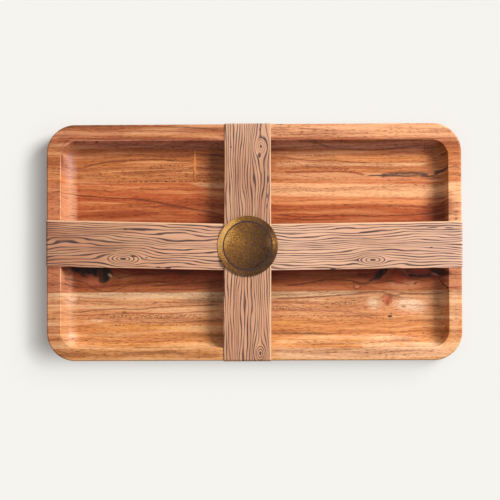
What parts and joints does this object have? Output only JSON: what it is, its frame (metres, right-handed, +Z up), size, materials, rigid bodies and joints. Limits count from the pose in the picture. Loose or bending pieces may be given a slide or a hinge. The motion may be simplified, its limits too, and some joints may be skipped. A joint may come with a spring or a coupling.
{
  "type": "appetizer tray",
  "caption": "Rectangular wooden serving tray with a coved recess, bound crosswise by paper bands that a round foil seal closes.",
  "frame": {"origin": "under the middle of the tray, on the surface that it stands on", "axes": "+X along the tray to its right end, +Y to its back, +Z up out of the recess"},
  "size_m": [0.3572, 0.2042, 0.0242],
  "materials": {
    "acacia_orange": "oiled, satin",
    "acacia_red": "oiled, satin",
    "acacia_dark": "oiled, satin",
    "acacia_light": "oiled, satin",
    "printed_kraft_paper": "matt, printed with wood-grain lines",
    "antique_gold_foil": "mottled antique foil, half gloss"
  },
  "bodies": {
    "root": {"back_stave": "acacia_orange", "mid_back_stave": "acacia_red", "mid_front_stave": "acacia_dark", "front_stave": "acacia_light", "long_band": "printed_kraft_paper", "short_band": "printed_kraft_paper", "seal": "antique_gold_foil"}
  },
  "joints": []
}
